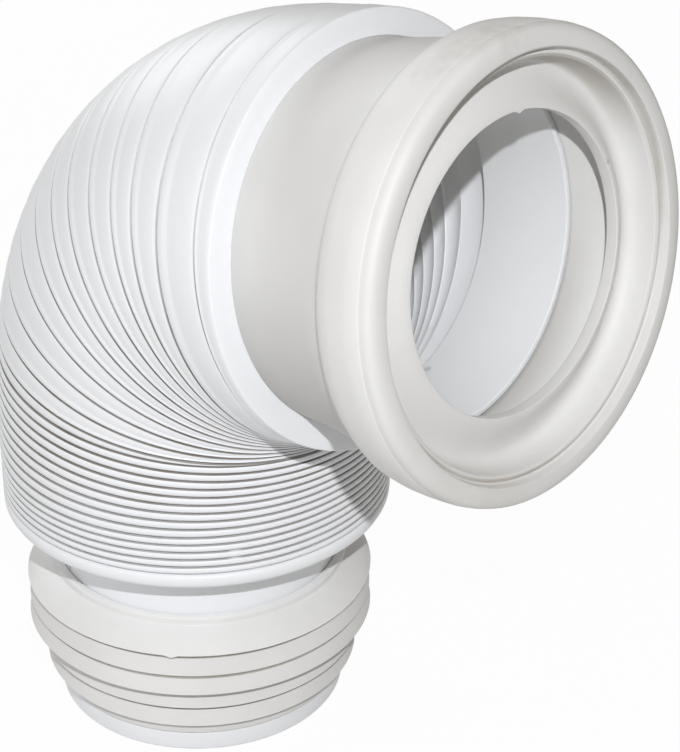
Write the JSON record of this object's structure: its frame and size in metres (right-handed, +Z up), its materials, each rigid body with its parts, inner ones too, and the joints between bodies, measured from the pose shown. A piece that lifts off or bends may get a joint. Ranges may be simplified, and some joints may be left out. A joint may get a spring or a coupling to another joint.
{
  "type": "toilet pan connector",
  "caption": "Flexible elbow pipe with a folded wall, a finned spigot seal and a rubber cuff whose dished membrane grips a toilet pan's outlet.",
  "frame": {"origin": "centre of the spigot's open end", "axes": "+Z up the spigot, +X the way the pan cuff faces, the bend in the XZ plane"},
  "size_m": [0.2131, 0.1342, 0.2666],
  "materials": {
    "tube_plastic": "satin white moulded plastic",
    "cuff_rubber": "matt warm white rubber",
    "seal_rubber": "matt warm white rubber"
  },
  "bodies": {
    "root": {"flexible_tube": "tube_plastic", "pan_cuff": "cuff_rubber", "spigot_seal": "seal_rubber"}
  },
  "joints": []
}
